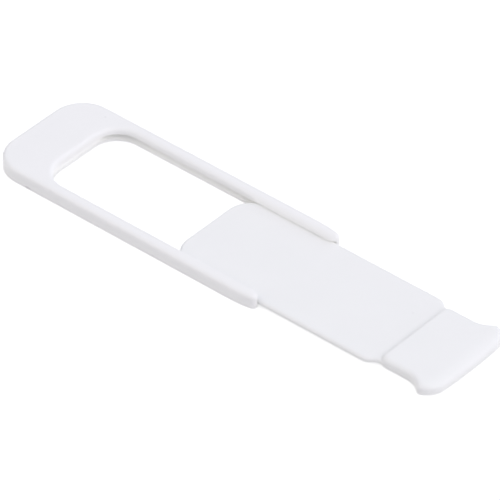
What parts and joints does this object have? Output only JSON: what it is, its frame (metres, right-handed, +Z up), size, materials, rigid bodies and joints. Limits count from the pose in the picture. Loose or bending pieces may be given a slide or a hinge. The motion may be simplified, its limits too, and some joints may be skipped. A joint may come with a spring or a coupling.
{
  "type": "webcam cover slider",
  "caption": "Stick-on webcam cover: a slim U-shaped frame around a window, and a flat slider with a raised, flared pull tab that runs in a slot inside the frame.",
  "frame": {"origin": "middle of the frame's closed end, on the sticking face of the tape", "axes": "+X along the arms, the way the slider pulls open; +Y across the frame; +Z up, out of the screen"},
  "size_m": [0.0577, 0.014, 0.0017],
  "materials": {
    "frame_plastic": "white moulded plastic, satin",
    "slider_plastic": "white moulded plastic, satin",
    "tape": "white double-sided tape, tacky and dull"
  },
  "bodies": {
    "frame": {"frame": "frame_plastic", "adhesive_tape": "tape"},
    "slider": {"slider": "slider_plastic"}
  },
  "joints": [
    {"name": "cover_slide", "type": "slide", "parent": "frame", "child": "slider", "axis": [1, 0, 0], "range_m": [-0.01771, 0]}
  ]
}
